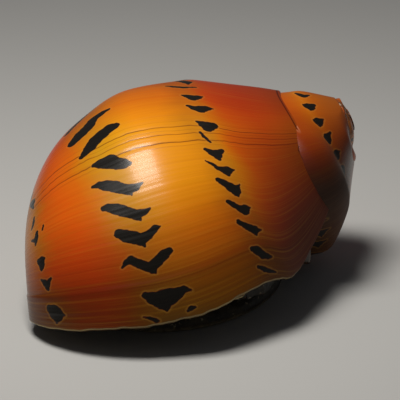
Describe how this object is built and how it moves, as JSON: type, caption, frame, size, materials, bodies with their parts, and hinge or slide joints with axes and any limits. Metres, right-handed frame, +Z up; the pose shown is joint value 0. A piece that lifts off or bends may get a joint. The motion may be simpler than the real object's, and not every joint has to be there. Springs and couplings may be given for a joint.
{
  "type": "nerite snail",
  "caption": "Life-size nerite snail with a glossy half-round coiled shell, settled on its broad foot with the head drawn in under the lip.",
  "frame": {"origin": "on the floor below the middle of the model's box", "axes": "+X to the viewer's right, +Y away from the viewer, +Z up"},
  "size_m": [0.0208, 0.0225, 0.0124],
  "materials": {
    "shell": "polished, with fine growth lines",
    "spire": "polished, worn at the tip",
    "callus": "smooth, porcelain-like",
    "plate": "satin, with faint arcs",
    "flesh": "moist skin",
    "rim": "moist and translucent",
    "eye": "glossy"
  },
  "bodies": {
    "root": {"shell_body_whorl": "shell", "shell_lip": "shell", "shell_spire": "spire", "shell_apex": "spire", "shell_deck": "callus", "foot": "flesh", "operculum": "plate", "trunk": "flesh", "head": "flesh", "snout": "flesh", "tentacle_left": "flesh", "tentacle_tip_left": "flesh", "tentacle_right": "flesh", "tentacle_tip_right": "flesh", "eyestalk_left": "flesh", "eyestalk_right": "flesh", "eye_left": "eye", "eye_right": "eye", "mantle_edge": "rim"}
  },
  "joints": []
}
